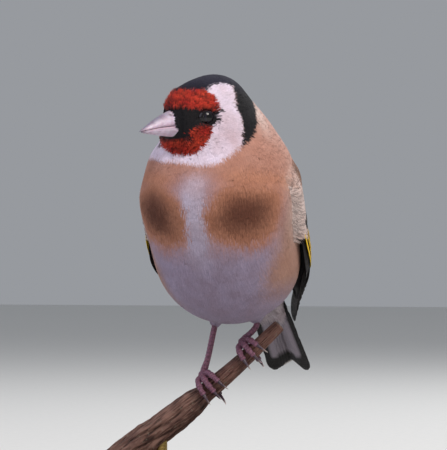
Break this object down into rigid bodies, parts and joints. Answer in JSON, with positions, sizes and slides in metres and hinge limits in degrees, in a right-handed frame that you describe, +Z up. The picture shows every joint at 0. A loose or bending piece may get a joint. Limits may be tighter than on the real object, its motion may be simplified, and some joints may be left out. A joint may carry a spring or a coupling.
{
  "type": "european goldfinch on a perch",
  "caption": "Life-size European goldfinch, fluffed up and looking to its right, gripping a sloping cut branch held by a slim rod on a round display base.",
  "frame": {"origin": "centre of the stand base's underside, on the surface it stands on", "axes": "+Z up; the bird's body faces -Y and its left side is +X"},
  "size_m": [0.092, 0.0944, 0.119],
  "materials": {
    "face_plumage": "short dense feathers, red, black and white",
    "body_plumage": "soft downy feathers, buff brown and white",
    "flight_plumage": "smooth stiff feathers, black with a yellow band and white tips",
    "bill": "satin horn, pinkish white",
    "eye": "wet and glossy, near black",
    "leg": "scaly bare skin, dull purplish pink",
    "claw": "satin horn, greyish",
    "bare_wood": "weathered branch, part of it without bark",
    "stand_wood": "turned hardwood, satin oil",
    "rod": "brushed, slightly dulled"
  },
  "bodies": {
    "root": {"head": "face_plumage", "neck": "body_plumage", "torso": "body_plumage", "wing_left": "flight_plumage", "wing_right": "flight_plumage", "tail": "flight_plumage", "bill_upper": "bill", "bill_lower": "bill", "eye_left": "eye", "eye_right": "eye", "thigh_left": "body_plumage", "thigh_right": "body_plumage", "foot_left": "leg", "foot_right": "leg", "claw_left_1": "claw", "claw_left_2": "claw", "claw_left_3": "claw", "claw_left_4": "claw", "claw_right_1": "claw", "claw_right_2": "claw", "claw_right_3": "claw", "claw_right_4": "claw", "perch": "bare_wood", "stand_base": "stand_wood", "stand_rod": "rod"}
  },
  "joints": []
}
